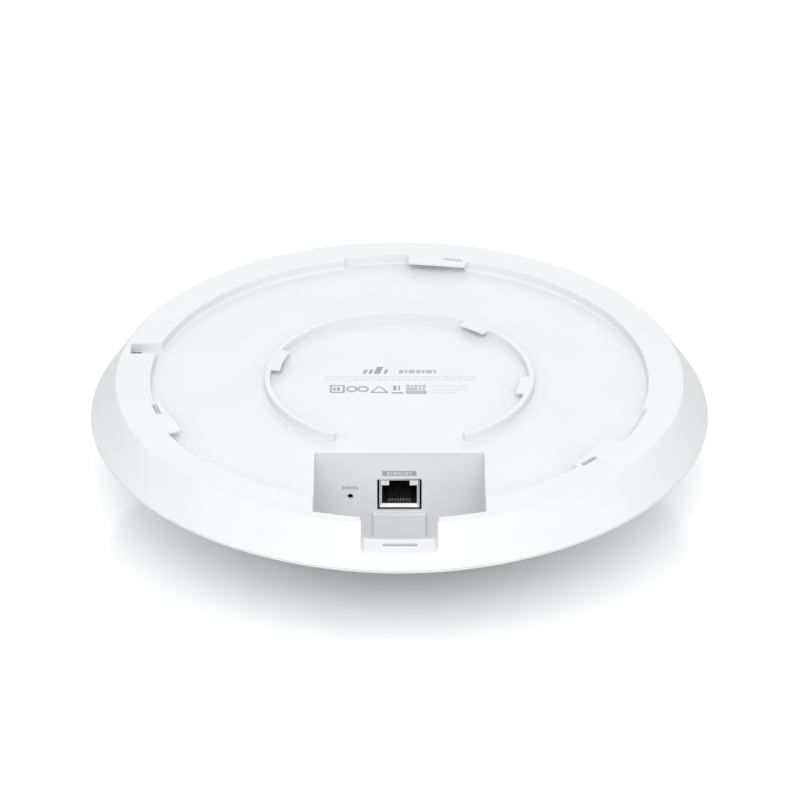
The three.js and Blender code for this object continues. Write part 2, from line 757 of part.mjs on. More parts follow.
function rearHousing() {
  const bayonets = [0, 120, 240].map(bayonet);
  const added = joined([
    housingShell(),
    pocketOuter(),
    notchBacking(),
    toolSlotBacking(),
    innerRib(),
    ...screwBosses(),
  ]);
  const jackWindow = block(-7.7, 7.7, POCKET_WALL_Y - 1, POCKET_WALL_Y + 3, 21, 33.35);
  const resetHole = barAlongY(RESET_X, RESET_Z, 1, POCKET_WALL_Y - 1, POCKET_WALL_Y + 3);
  const ledgeSlit = block(-5.6, 5.6, -101.7, -99.9, 36, LEDGE_HEIGHT + 1);
  const cuts = joined([
    ...bayonets.flatMap(({ undercut, entry }) => [undercut, entry]),
    pocketInner(),
    notchCut(),
    toolSlotCut(),
    jackWindow,
    resetHole,
    ledgeSlit,
  ]);
  const hooks = bayonets.map(({ hook, coreSlot }) => hook.subtract(coreSlot));
  const slots = joined(bayonets.map(({ coreSlot }) => coreSlot));
  return joined([added.subtract(cuts), ...hooks, pocketStep()]).subtract(slots);
}
addPart("rear_housing", rearHousing(), WHITE_PLASTIC);

export default group;
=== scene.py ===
"""Looks of the ceiling access point: fine shells, jack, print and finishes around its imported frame."""

import json
import math

import bmesh
import bpy
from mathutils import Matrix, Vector


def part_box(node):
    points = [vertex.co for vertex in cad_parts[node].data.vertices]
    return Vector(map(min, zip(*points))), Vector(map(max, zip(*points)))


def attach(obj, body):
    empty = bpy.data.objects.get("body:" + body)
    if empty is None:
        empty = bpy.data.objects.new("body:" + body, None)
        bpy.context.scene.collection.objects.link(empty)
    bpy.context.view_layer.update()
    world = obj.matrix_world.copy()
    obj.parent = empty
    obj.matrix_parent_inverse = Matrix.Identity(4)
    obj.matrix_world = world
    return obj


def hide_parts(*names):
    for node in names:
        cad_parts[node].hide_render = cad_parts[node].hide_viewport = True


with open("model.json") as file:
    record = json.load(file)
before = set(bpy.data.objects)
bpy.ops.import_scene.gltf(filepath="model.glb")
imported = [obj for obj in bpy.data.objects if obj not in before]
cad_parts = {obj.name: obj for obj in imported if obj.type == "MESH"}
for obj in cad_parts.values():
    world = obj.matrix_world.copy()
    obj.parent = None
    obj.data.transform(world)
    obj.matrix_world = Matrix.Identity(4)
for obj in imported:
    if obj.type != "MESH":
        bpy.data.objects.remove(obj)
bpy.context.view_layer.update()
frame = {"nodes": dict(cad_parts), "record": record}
scene = bpy.context.scene

# ---------- sizes in millimetres, taken from the frame where it has them ----------
MM = 0.001
ROUND = 240  # steps round the large shells
GAP = 0.3  # clearance between neighbouring pieces


def box_mm(node):
    low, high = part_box(node)
    return low / MM, high / MM


COVER_HIGH = box_mm("front_cover")[1]
WIDE_RADIUS = COVER_HIGH.x  # widest edge, where cover and housing meet
WIDE_HEIGHT = COVER_HIGH.z
RIM_RADIUS = WIDE_RADIUS - 0.05
TOTAL_HEIGHT = box_mm("rear_housing")[1].z
EMBLEM_HIGH = box_mm("emblem_disc")[1]
RING_HIGH = box_mm("light_ring")[1]
RIM_BAND = 0.4  # upright band of the cover below the parting line
COVER_WALL = 2.4
HOUSING_WALL = 2.2
COVER_HOLE_RADIUS = 24

# Rear face
RING_RADIUS = 100.87  # where the cone and the flat ring would meet without a rounded edge
RECESS_RADIUS = 88.3
RECESS_FLOOR = TOTAL_HEIGHT - 3.7
CEILING_OF_INSIDE = RECESS_FLOOR - HOUSING_WALL

# Jack pocket
POCKET_HALF_WIDTH = 29.1
POCKET_NEAR_HALF_WIDTH = 28.7  # the side walls draw in towards the rim
POCKET_WALL_Y = -49  # upright wall that the jack looks out of
POCKET_RADIUS = 97.5  # near wall, an arc about the axis
POCKET_OUT_Y = -105  # past the near wall
POCKET_INSET = 5.2  # pocket floor, measured inwards from the dome
NOTCH_HALF_WIDTH = 12.7
LEDGE_HEIGHT = 39.8  # bottom of the cable notch

# The dome is a piece of a sphere through the rim and the edge of the light ring's hole.
DOME_RISE = WIDE_HEIGHT - RIM_BAND
DOME_CENTRE = (WIDE_RADIUS**2 + DOME_RISE**2 - COVER_HOLE_RADIUS**2) / (2 * DOME_RISE)
DOME_RADIUS = math.hypot(COVER_HOLE_RADIUS, DOME_CENTRE)


def dome_height(r, inset=0):
    return DOME_CENTRE - math.sqrt((DOME_RADIUS - inset) ** 2 - r * r)


def dome_arc(start, end, inset, steps=48):
    radii = [start + (end - start) * i / steps for i in range(steps + 1)]
    return [(r, dome_height(r, inset)) for r in radii]


# ---------- outlines ----------
def rounded(corners, steps=6):
    """An outline from corners (x, y, radius), each one rounded by an arc of that radius."""
    outline = []
    for i, (x, y, radius) in enumerate(corners):
        corner = Vector((x, y))
        if not radius:
            outline.append((x, y))
            continue
        back = (Vector(corners[i - 1][:2]) - corner).normalized()
        ahead = (Vector(corners[(i + 1) % len(corners)][:2]) - corner).normalized()
        half = back.angle(ahead) / 2
        centre = corner + (back + ahead).normalized() * radius / math.sin(half)
        start = corner + back * radius / math.tan(half) - centre
        end = corner + ahead * radius / math.tan(half) - centre
        first = math.atan2(start.y, start.x)
        sweep = math.remainder(math.atan2(end.y, end.x) - first, 2 * math.pi)
        for k in range(steps + 1):
            angle = first + sweep * k / steps
            outline.append((centre.x + radius * math.cos(angle), centre.y + radius * math.sin(angle)))
    return outline


def rectangle(x0, x1, y0, y1, radius=0.0):
    return rounded([(x0, y0, radius), (x1, y0, radius), (x1, y1, radius), (x0, y1, radius)])


def circle(x, y, radius, steps=24):
    angles = [2 * math.pi * i / steps for i in range(steps)]
    return [(x + radius * math.cos(a), y + radius * math.sin(a)) for a in angles]


def polar(radius, degrees):
    angle = math.radians(degrees)
    return radius * math.cos(angle), radius * math.sin(angle)


def arc(radius, start, end, steps=24):
    """Points on a circle about the axis, between two angles in degrees."""
    return [polar(radius, start + (end - start) * k / steps) for k in range(steps + 1)]


def sector_outline(r0, r1, start, end, steps=24):
    """A piece of a flat ring between two radii and two angles in degrees."""
    return arc(r1, start, end, steps) + arc(r0, end, start, steps)


# ---------- meshes ----------
def new_piece(name, corners, faces):
    mesh = bpy.data.meshes.new(name)
    mesh.from_pydata([tuple(c * MM for c in corner) for corner in corners], [], faces)
    piece = bpy.data.objects.new(name, mesh)
    scene.collection.objects.link(piece)
    work = bmesh.new()
    work.from_mesh(mesh)
    bmesh.ops.recalc_face_normals(work, faces=work.faces)
    work.to_mesh(mesh)
    work.free()
    return piece


def revolve(name, outline, turn=(0, 360), steps=ROUND):
    """A closed (radius, height) outline swept about the Z axis between two angles in degrees."""
    first, last = (math.radians(angle) for angle in turn)
    full = turn[1] - turn[0] == 360
    columns = steps if full else steps + 1
    corners = []
    rows = []
    for r, z in outline:
        row = []
        for i in range(columns):
            if r == 0 and i:
                row.append(row[0])
                continue
            angle = first + (last - first) * i / steps
            row.append(len(corners))
            corners.append((r * math.cos(angle), r * math.sin(angle), z))
        rows.append(row)
    faces = []
    for k, row in enumerate(rows):
        upper = rows[(k + 1) % len(rows)]
        for i in range(steps):
            j = (i + 1) % columns
            face = list(dict.fromkeys([row[i], row[j], upper[j], upper[i]]))
            if len(face) > 2:
                faces.append(face)
    if not full:
        faces.append([row[0] for row in rows])
        faces.append([row[-1] for row in rows])
    return new_piece(name, corners, faces)


AXIS_ORDER = {
    "x": lambda a, b, c: (c, a, b),
    "y": lambda a, b, c: (a, c, b),
    "z": lambda a, b, c: (a, b, c),
}


def taper(name, outline_low, outline_high, low, high, axis):
    """A solid between two outlines that have the same number of corners."""
    place = AXIS_ORDER[axis]
    n = len(outline_low)
    corners = [place(a, b, low) for a, b in outline_low]
    corners += [place(a, b, high) for a, b in outline_high]
    faces = [list(range(n)), list(range(n, 2 * n))]
    faces += [[i, (i + 1) % n, n + (i + 1) % n, n + i] for i in range(n)]
    return new_piece(name, corners, faces)


def prism(name, outline, low, high, axis="z"):
    """An outline carried along one axis. Its two coordinates are the other two, in x, y, z order."""
    return taper(name, outline, outline, low, high, axis)


def block(name, x0, x1, y0, y1, z0, z1):
    return prism(name, rectangle(x0, x1, y0, y1), z0, z1)


def bake(piece):
    """Applies the piece's modifiers to its mesh."""
    graph = bpy.context.evaluated_depsgraph_get()
    mesh = bpy.data.meshes.new_from_object(piece.evaluated_get(graph))
    piece.modifiers.clear()
    piece.data = mesh
    mesh.name = piece.name
    return piece


def combine(piece, others, operation):
    """Adds, cuts or intersects the others with the piece, one by one, and uses them up."""
    for other in others:
        step = piece.modifiers.new("combine", "BOOLEAN")
        step.operation = operation
        step.solver = "MANIFOLD"
        step.object = other
        bake(piece)
        bpy.data.objects.remove(other)
    return piece


def add(piece, *others):
    return combine(piece, others, "UNION")


def cut(piece, *others):
    return combine(piece, others, "DIFFERENCE")


def common(piece, *others):
    return combine(piece, others, "INTERSECT")


def soften(piece, width, steps=3, angle=32, shortest=0.0):
    """Rounds every edge that is sharper than the angle and longer than that length."""
    work = bmesh.new()
    work.from_mesh(piece.data)
    sharp = [e for e in work.edges if e.is_manifold and e.calc_face_angle() > math.radians(angle)]
    edges = [e for e in sharp if e.calc_length() > shortest * MM]
    bmesh.ops.bevel(
        work,
        geom=edges,
        offset=width * MM,
        segments=steps,
        profile=0.5,
        affect="EDGES",
        clamp_overlap=False,
    )
    bmesh.ops.remove_doubles(work, verts=work.verts, dist=0.002 * MM)
    bmesh.ops.recalc_face_normals(work, faces=work.faces)
    work.to_mesh(piece.data)
    work.free()
    return piece


def smooth(piece, angle=35):
    """Shades the piece smooth, apart from edges sharper than the angle."""
    piece.data.shade_smooth()
    piece.data.set_sharp_from_angle(angle=math.radians(angle))
    normals = piece.modifiers.new("normals", "WEIGHTED_NORMAL")
    normals.keep_sharp = True
    return bake(piece)


def paint(piece, material):
    piece.data.materials.clear()
    piece.data.materials.append(material)
    return piece


# ---------- procedural materials ----------
WAVE_SCALE = 0.32  # the wave texture's scale for one stripe in each unit of length


class Finish:
    """A material under construction: a Principled shader and the textures that feed it."""

    def __init__(self, name, roughness, metallic=0.0):
        self.material = bpy.data.materials.new(name)
        self.material.use_nodes = True
        self.tree = self.material.node_tree
        self.shader = self.tree.nodes["Principled BSDF"]
        self.shader.inputs["Roughness"].default_value = roughness
        self.shader.inputs["Metallic"].default_value = metallic
        self.place = self.tree.nodes.new("ShaderNodeTexCoord").outputs["Object"]

    def link(self, output, target):
        self.tree.links.new(output, target)

    def mapped(self, stretch):
        node = self.tree.nodes.new("ShaderNodeMapping")
        node.inputs["Scale"].default_value = stretch
        self.link(self.place, node.inputs["Vector"])
        return node.outputs["Vector"]

    def noise(self, size_mm, detail=3.0, stretch=(1, 1, 1)):
        """Noise whose features are about that size."""
        node = self.tree.nodes.new("ShaderNodeTexNoise")
        node.inputs["Scale"].default_value = 1 / (size_mm * MM)
        node.inputs["Detail"].default_value = detail
        self.link(self.mapped(stretch), node.inputs["Vector"])
        return node.outputs["Fac"]

    def cells(self, size_mm):
        """Round cells of about that size."""
        node = self.tree.nodes.new("ShaderNodeTexVoronoi")
        node.inputs["Scale"].default_value = 1 / (size_mm * MM)
        self.link(self.place, node.inputs["Vector"])
        return node.outputs["Distance"]

    def stripes(self, size_mm):
        """Stripes across X, that far apart."""
        node = self.tree.nodes.new("ShaderNodeTexWave")
        node.inputs["Scale"].default_value = WAVE_SCALE / (size_mm * MM)
        self.link(self.place, node.inputs["Vector"])
        return node.outputs["Fac"]

    def ramp(self, factor, *stops):
        """Colours at places from 0 to 1 along the factor."""
        node = self.tree.nodes.new("ShaderNodeValToRGB")
        elements = node.color_ramp.elements
        while len(elements) < len(stops):
            elements.new(0.5)
        for element, (place, colour) in zip(elements, stops):
            element.position = place
            element.color = (*colour, 1)
        self.link(factor, node.inputs["Fac"])
        return node.outputs["Color"]

    def levels(self, factor, low, high):
        """The middle range of a noise spread from low to high."""
        node = self.tree.nodes.new("ShaderNodeMapRange")
        node.inputs["From Min"].default_value = 0.3
        node.inputs["From Max"].default_value = 0.7
        node.inputs["To Min"].default_value = low
        node.inputs["To Max"].default_value = high
        self.link(factor, node.inputs["Value"])
        return node.outputs["Result"]

    def colour(self, output):
        self.link(output, self.shader.inputs["Base Color"])
        return self

    def roughness(self, output):
        self.link(output, self.shader.inputs["Roughness"])
        return self

    def bump(self, height, depth_mm, strength=1.0):
        """Adds relief of that depth to any that the shader has already."""
        node = self.tree.nodes.new("ShaderNodeBump")
        node.inputs["Strength"].default_value = strength
        node.inputs["Distance"].default_value = depth_mm * MM
        self.link(height, node.inputs["Height"])
        before = self.shader.inputs["Normal"]
        if before.is_linked:
            self.link(before.links[0].from_socket, node.inputs["Normal"])
        self.link(node.outputs["Normal"], before)
        return self

    def set(self, **values):
        for name, value in values.items():
            self.shader.inputs[name.replace("_", " ")].default_value = value
        return self


def shade(colour, factor):
    """The colour, lighter or darker."""
    return tuple(c * factor for c in colour)


def moulded_plastic(name, colour, roughness):
    """Injection-moulded plastic: faint flow mottling over a fine eroded grain."""
    finish = Finish(name, roughness)
    flow = finish.noise(22, 2, (1, 1, 2.5))
    finish.colour(finish.ramp(flow, (0.3, shade(colour, 0.985)), (0.7, shade(colour, 1.01))))
    grain = finish.noise(0.35, 2)
    finish.roughness(finish.levels(grain, roughness - 0.05, roughness + 0.05))
    finish.bump(grain, 0.004)
    return finish.bump(flow, 0.02).material


def frosted_diffuser(name):
    """Milky polycarbonate with fine scattering grains."""
    finish = Finish(name, 0.34).set(IOR=1.58, Subsurface_Weight=0.35, Subsurface_Scale=0.002)
    grains = finish.noise(0.5, 4)
    finish.colour(finish.ramp(grains, (0.3, (0.72, 0.74, 0.76)), (0.7, (0.78, 0.80, 0.82))))
    finish.roughness(finish.levels(grains, 0.26, 0.42))
    return finish.bump(grains, 0.006).material


def rolled_metal(name, colour, roughness, along="X"):
    """Sheet metal with rolling lines along one direction and faint stains."""
    finish = Finish(name, roughness, 1.0)
    long = 0.06  # how much the noise is drawn out into lines
    stretch = (long, 1, 1) if along == "X" else (1, 1, long)
    lines = finish.noise(0.25, 5, stretch)
    stains = finish.noise(6, 3)
    finish.colour(finish.ramp(stains, (0.3, shade(colour, 0.9)), (0.7, shade(colour, 1.04))))
    finish.roughness(finish.levels(lines, roughness - 0.09, roughness + 0.1))
    return finish.bump(lines, 0.003).material


def solder_mask(name, board, trace):
    """Circuit board lacquer over copper: straight traces, pads and a slightly uneven coat."""
    finish = Finish(name, 0.42)
    lanes = finish.stripes(1.8)
    patches = finish.cells(9)
    coat = finish.noise(0.8, 3)
    lines = finish.ramp(lanes, (0.42, board), (0.5, trace), (0.58, board))
    planes = finish.ramp(patches, (0.38, shade(board, 1.25)), (0.42, board))
    mix = finish.tree.nodes.new("ShaderNodeMixRGB")
    mix.blend_type = "LIGHTEN"
    mix.inputs["Fac"].default_value = 0.8
    finish.link(lines, mix.inputs["Color1"])
    finish.link(planes, mix.inputs["Color2"])
    finish.colour(mix.outputs["Color"])
    finish.roughness(finish.levels(coat, 0.34, 0.5))
    finish.bump(lanes, 0.02, 0.5)
    return finish.bump(coat, 0.01).material


def filled_plastic(name, colour, roughness):
    """Dark glass-filled plastic: short pale fibres in a matt body."""
    finish = Finish(name, roughness)
    fibres = finish.noise(0.4, 4, (1, 0.25, 1))
    dark, pale = shade(colour, 0.85), shade(colour, 1.6)
    finish.colour(finish.ramp(fibres, (0.35, dark), (0.62, colour), (0.8, pale)))
    finish.roughness(finish.levels(fibres, roughness - 0.08, roughness + 0.12))
    return finish.bump(fibres, 0.006).material


def speckled(name, colour, roughness, size_mm, contrast):
    """A pressed or filled body with grains of two tones, such as ferrite or a thermal pad."""
    finish = Finish(name, roughness)
    grains = finish.cells(size_mm)
    dust = finish.noise(size_mm * 4, 3)
    pale, dark = shade(colour, 1 + contrast), shade(colour, 1 - contrast)
    finish.colour(finish.ramp(grains, (0.15, pale), (0.5, colour), (0.9, dark)))
    finish.roughness(finish.levels(dust, roughness - 0.08, roughness + 0.06))
    return finish.bump(grains, 0.01).material


def plated_contact(name, colour, roughness):
    """Gold plating with drawn lines and thin worn places."""
    finish = Finish(name, roughness, 1.0)
    drawn = finish.noise(0.12, 3, (1, 0.05, 1))
    worn = finish.noise(0.9, 2)
    finish.colour(finish.ramp(worn, (0.35, shade(colour, 0.88)), (0.65, colour)))
    finish.roughness(finish.levels(drawn, roughness - 0.06, roughness + 0.12))
    return finish.bump(drawn, 0.002).material


def flat_cable(name):
    """Amber film with copper lines showing through it."""
    finish = Finish(name, 0.36)
    lines = finish.stripes(1.0)
    finish.colour(finish.ramp(lines, (0.35, (0.36, 0.13, 0.02)), (0.65, (0.62, 0.27, 0.06))))
    return finish.bump(lines, 0.03).material


def phosphor(name):
    """The yellow cap of an LED."""
    finish = Finish(name, 0.4)
    grains = finish.noise(0.15, 3)
    finish.colour(finish.ramp(grains, (0.3, (0.82, 0.72, 0.36)), (0.7, (0.88, 0.82, 0.52))))
    finish.roughness(finish.levels(grains, 0.32, 0.5))
    return finish.bump(grains, 0.004).material


def pad_ink(name, colour):
    """Pad-printed ink: a thin matt film with uneven cover."""
    finish = Finish(name, 0.6)
    cover = finish.noise(0.25, 4)
    finish.colour(finish.ramp(cover, (0.3, shade(colour, 1.12)), (0.6, colour)))
    finish.roughness(finish.levels(cover, 0.5, 0.68))
    return finish.bump(cover, 0.003).material


WHITE = (0.714, 0.724, 0.737)  # one white for both shells, in linear light
FINISHES = {
    "cover_white": moulded_plastic("cover_white", WHITE, 0.42),
    "housing_white": moulded_plastic("housing_white", WHITE, 0.46),
    "button_black": filled_plastic("button_black", (0.012, 0.012, 0.013), 0.45),
    "diffuser": frosted_diffuser("diffuser"),
    "board_white": solder_mask("board_white", (0.74, 0.74, 0.70), (0.80, 0.80, 0.77)),
    "led_lens": phosphor("led_lens"),
    "ribbon": flat_cable("ribbon"),
    "aluminium": rolled_metal("aluminium", (0.72, 0.73, 0.75), 0.42),
    "antenna_metal": rolled_metal("antenna_metal", (0.78, 0.75, 0.68), 0.34),
    "board_green": solder_mask("board_green", (0.009, 0.05, 0.027), (0.022, 0.11, 0.055)),
    "plated_steel": rolled_metal("plated_steel", (0.80, 0.805, 0.815), 0.42, "Z"),
    "chip_black": filled_plastic("chip_black", (0.016, 0.016, 0.018), 0.55),
    "thermal_pad": speckled("thermal_pad", (0.27, 0.35, 0.46), 0.85, 0.5, 0.18),
    "ferrite": speckled("ferrite", (0.045, 0.03, 0.024), 0.62, 0.3, 0.35),
    "insert_black": filled_plastic("insert_black", (0.011, 0.011, 0.012), 0.5),
    # the contacts' colour is set far darker than bright gold plating: painted shade for the shadow
    # inside the jack's port
    "contact_gold": plated_contact("contact_gold", (0.34, 0.27, 0.22), 0.4),
}
DARK_INK = pad_ink("ink_grey", (0.30, 0.30, 0.31))
MID_INK = pad_ink("ink_mid", (0.40, 0.405, 0.415))
PALE_INK = pad_ink("ink_pale", (0.62, 0.625, 0.635))
LABEL_INK = pad_ink("ink_label", (0.33, 0.335, 0.345))


def dress(piece, slot, body, *nodes):
    """Gives a piece its finish and its body, and lets it stand for those CAD nodes."""
    paint(piece, FINISHES[slot])
    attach(piece, body)
    if nodes:
        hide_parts(*nodes)
    return piece


# ---------- front: dome, light ring and emblem ----------
def front_cover():
    """The domed shell, with its hole for the light ring and its upright rim."""
    inner_radius = 106.4
    outer = [(r, z, 0) for r, z in dome_arc(COVER_HOLE_RADIUS, WIDE_RADIUS, 0, 60)]
    inner = [(r, z, 0) for r, z in dome_arc(inner_radius, COVER_HOLE_RADIUS, COVER_WALL, 40)]
    hole_rounding = 0.3
    rim_rounding = 0.5
    outer[0] = (*outer[0][:2], hole_rounding)
    outer[-1] = (*outer[-1][:2], rim_rounding)
    rim = [(WIDE_RADIUS, WIDE_HEIGHT, 0.1), (inner_radius + 0.6, WIDE_HEIGHT, 0)]
    return smooth(revolve("front_cover_shell", rounded([*outer, *rim, *inner])))


def emblem_disc():
    """The blank disc in the light ring, slightly dished."""
    radius = EMBLEM_HIGH.x
    top = EMBLEM_HIGH.z
    dish = 0.3
    outline = rounded(
        [
            (0, dish, 0),
            (radius * 0.56, dish, 1.2),
            (radius * 0.62, 0, 1.2),
            (radius * 0.9, 0, 0),
            (radius, 0, 0.5),
            (radius, top, 0.2),
            (0, top, 0),
        ]
    )
    return smooth(revolve("emblem_cap", outline, steps=144))


def light_ring():
    """The diffuser: a ring flush with the dome, with a flange behind the cover."""
    bore = 14  # of the part behind the emblem disc
    low = box_mm("light_ring")[0]
    inner = EMBLEM_HIGH.x + GAP
    outer = COVER_HOLE_RADIUS - GAP
    flange = dome_height(RING_HIGH.x, COVER_WALL) + GAP
    shelf = EMBLEM_HIGH.z + GAP
    back = RING_HIGH.z
    outline = rounded(
        [
            (bore, shelf, 0.2),
            (inner, shelf, 0.15),
            (inner, low.z, 0.5),
            (outer, low.z, 0.5),
            (outer, flange, 0.15),
            (RING_HIGH.x, flange, 0.2),
            (RING_HIGH.x, back, 0.2),
            (bore, back, 0.2),
        ]
    )
    return smooth(revolve("light_ring_lens", outline, steps=144))


dress(front_cover(), "cover_white", "housing", "front_cover")
dress(emblem_disc(), "cover_white", "housing", "emblem_disc")
dress(light_ring(), "diffuser", "housing", "light_ring")

# ---------- rear housing ----------
HOOK_FROM = 73.2  # first bayonet hook, in degrees
HOOK_TO = 87.8
HOOKS = [(0, 84.8, 84.3), (120, 86.4, 85.2), (240, 86, 85)]  # turn, inner radii at start and end
HOOK_BOTTOM = TOTAL_HEIGHT - 1
CORE_SLOT_RADII = (87.8, 89.5)
CORE_SLOT_ANGLES = (1.3, 5.9)  # degrees past the hook's start
ENTRY_TO = 103.5  # end of the setback that lets a bracket's tab in beside the hook
SETBACK_RADIUS = 90.2
RIB_INNER = 46
RIB_OUTER = 48
RIB_TOP = RECESS_FLOOR + 3
RIB_GAP_HALF_ANGLE = 28.4  # the inner rib is open towards the pocket
RIB_HOOKS = [(157, 175), (45.3, 58.9), (343, 358)]
RIB_HOOK_REACH = 3.3
RIB_HOOK_BOTTOM = RIB_TOP - 0.9
CASE_EDGE = 0.28  # rounding of the moulded edges
RING_ROUNDING = 1.1  # outer edge of the ring
PARTING_HEIGHT = WIDE_HEIGHT + 0.07  # the housing's rim all but touches the cover's


def housing_shell():
    """The turned form: sloped wall, flat ring and recess, hollow underneath."""
    step_inside = 92.6
    bend_inside = 99.4
    rim_inside = 107.2
    under_ring = TOTAL_HEIGHT - HOUSING_WALL
    corners = [
        (0, CEILING_OF_INSIDE, 0),
        (step_inside, CEILING_OF_INSIDE, 0),
        (step_inside, under_ring, 0),
        (bend_inside, under_ring, 0),
        (rim_inside, PARTING_HEIGHT, 0),
        (RIM_RADIUS, PARTING_HEIGHT, 0.1),
        (RING_RADIUS, TOTAL_HEIGHT, RING_ROUNDING),
        (RECESS_RADIUS, TOTAL_HEIGHT, 0.45),
        (RECESS_RADIUS, RECESS_FLOOR, 0.8),
        (0, RECESS_FLOOR, 0),
    ]
    return revolve("rear_housing_shell", rounded(corners, 4))


def housing_envelope():
    """Everything inside the housing's outer surface, to trim pieces added behind it."""
    top = TOTAL_HEIGHT - 0.02
    corners = [
        (0, 0, 0),
        (RIM_RADIUS, 0, 0),
        (RIM_RADIUS, PARTING_HEIGHT, 0),
        (RING_RADIUS, top, RING_ROUNDING),
        (0, top, 0),
    ]
    return revolve("envelope", rounded(corners))


def above_dome(inset, top):
    """Everything above a surface inset from the dome."""
    return revolve("above_dome", [*dome_arc(0, 104, inset), (104, top), (0, top)])


def within(radius):
    """A tall cylinder about the axis."""
    low, high = -5, TOTAL_HEIGHT + 22
    return revolve("cylinder", [(0, low), (radius, low), (radius, high), (0, high)])


def pocket_outside():
    """The walls of the pocket: a column down to a floor that follows the dome."""
    w = POCKET_HALF_WIDTH + HOUSING_WALL
    wall_back = POCKET_WALL_Y + 2
    ring_back = -83.6  # the walls rise into the ring up to here
    piece = block("pocket", -w, w, POCKET_OUT_Y, wall_back, 0, RECESS_FLOOR - 0.5)
    upper = block("upper", -w, w, POCKET_OUT_Y, ring_back, RECESS_FLOOR - 1, TOTAL_HEIGHT - 0.5)
    add(piece, upper)
    bowl = above_dome(POCKET_INSET - HOUSING_WALL, TOTAL_HEIGHT + 2)
    return common(piece, bowl, within(POCKET_RADIUS + HOUSING_WALL))


def pocket_inside():
    w = POCKET_HALF_WIDTH
    near = POCKET_NEAR_HALF_WIDTH
    corner = 0.9
    front = [(-near, POCKET_OUT_Y, 0), (near, POCKET_OUT_Y, 0)]
    back = [(w, POCKET_WALL_Y, corner), (-w, POCKET_WALL_Y, corner)]
    piece = prism("pocket_space", rounded([*front, *back]), 0, TOTAL_HEIGHT + 5)
    return common(piece, above_dome(POCKET_INSET, TOTAL_HEIGHT + 9), within(POCKET_RADIUS))


def pocket_step():
    """The step under the jack, over the board's edge."""
    w = 9.2
    top = 20.3
    piece = block("step", -w, w, POCKET_WALL_Y - 1.9, POCKET_WALL_Y + 1, 0, top)
    soften(piece, 0.5, 4)
    return common(piece, above_dome(POCKET_INSET - 1, TOTAL_HEIGHT))


def notch():
    """The opening through the ring for the cable, rounded where it meets the ledge."""
    w = NOTCH_HALF_WIDTH
    outline = rectangle(-w, w, LEDGE_HEIGHT, TOTAL_HEIGHT + 8, 1.6)
    return prism("notch", outline, -115, -92, "y")


def notch_backing():
    w = NOTCH_HALF_WIDTH + HOUSING_WALL
    piece = block("backing", -w, w, -112, -POCKET_RADIUS, LEDGE_HEIGHT - HOUSING_WALL, 47)
    return common(piece, housing_envelope())


def ledge_slit():
    return block("ledge_slit", -5.4, 5.9, -101.7, -99.9, LEDGE_HEIGHT - 3.8, LEDGE_HEIGHT + 1)


TOOL_SLOT_Y = (14.1, 21.5)
TOOL_SLOT_END_X = -96.6
TOOL_PIT_BOTTOM = 40.6


def tool_slot_backing():
    y0, y1 = TOOL_SLOT_Y
    outer = TOOL_SLOT_END_X - 2.8
    top = TOTAL_HEIGHT - 1
    piece = block("backing", outer, -89, y0 - 2, y1 + 2, CEILING_OF_INSIDE, top)
    add(piece, block("deep", outer, -91.6, y0 - 2, y1 + 2, TOOL_PIT_BOTTOM - 2, top))
    return common(piece, housing_envelope())


def tool_slot():
    """The slot across the ring for a release tool, deeper at its outer end."""
    y0, y1 = TOOL_SLOT_Y
    end = TOOL_SLOT_END_X
    pit = block("pit", end, end + 3.2, y0 + 0.5, y1 - 0.5, TOOL_PIT_BOTTOM, RECESS_FLOOR + 1)
    return add(block("tool_slot", end, -85, y0, y1, RECESS_FLOOR, TOTAL_HEIGHT + 1), pit)


def bayonet_space(turn):
    """The undercut below one hook, run on into the setback where a bracket's tab drops in."""
    start = HOOK_FROM + turn + 0.8
    outline = sector_outline(RECESS_RADIUS - 0.4, SETBACK_RADIUS, start, ENTRY_TO + turn)
    return prism("setback", outline, RECESS_FLOOR, TOTAL_HEIGHT + 1)


def hook(turn, radius_at_start, radius_at_end):
    """A flat hook over the undercut, with the slot that its mould core leaves."""
    start = HOOK_FROM + turn
    end = HOOK_TO + turn
    root = SETBACK_RADIUS + 0.7
    outline = [*arc(root, start, end), polar(radius_at_end, end), polar(radius_at_start, start)]
    piece = prism("hook", outline, HOOK_BOTTOM, TOTAL_HEIGHT)
    slot_start, slot_end = (start + angle for angle in CORE_SLOT_ANGLES)
    slot = sector_outline(*CORE_SLOT_RADII, slot_start, slot_end, steps=8)
    cut(piece, prism("core_slot", slot, HOOK_BOTTOM - 1, TOTAL_HEIGHT + 1))
    return soften(piece, 0.15)


def inner_rib():
    """The C-shaped rib on the recess floor, with three hooks along its top."""
    start = -90 + RIB_GAP_HALF_ANGLE
    end = 270 - RIB_GAP_HALF_ANGLE
    outline = rectangle(RIB_INNER, RIB_OUTER, RECESS_FLOOR - 0.5, RIB_TOP)
    piece = revolve("rib", outline, (start, end), 180)
    for a, b in RIB_HOOKS:
        shape = sector_outline(RIB_INNER - RIB_HOOK_REACH, RIB_INNER + 0.5, a, b)
        add(piece, prism("rib_hook", shape, RIB_HOOK_BOTTOM, RIB_TOP))
    return soften(piece, 0.2)


def screw_bosses():
    """One bored boss over each frame screw, down from the inside of the recess floor."""
    bite = 6  # of the screw in its boss
    bosses = []
    for i in range(1, 7):
        low, high = box_mm(f"frame_screw_{i}")
        x, y = (low.x + high.x) / 2, (low.y + high.y) / 2
        bottom = high.z - bite
        boss = prism("boss", circle(x, y, 3.4, 36), bottom, CEILING_OF_INSIDE + 0.5)
        bosses.append(cut(boss, prism("bore", circle(x, y, 1.6), bottom - 1, high.z + 1)))
    return bosses


JACK_WINDOW = (-7.7, 7.7, 21.0, 33.35)  # x, then z
RESET_X = -17
RESET_Z = 26.5


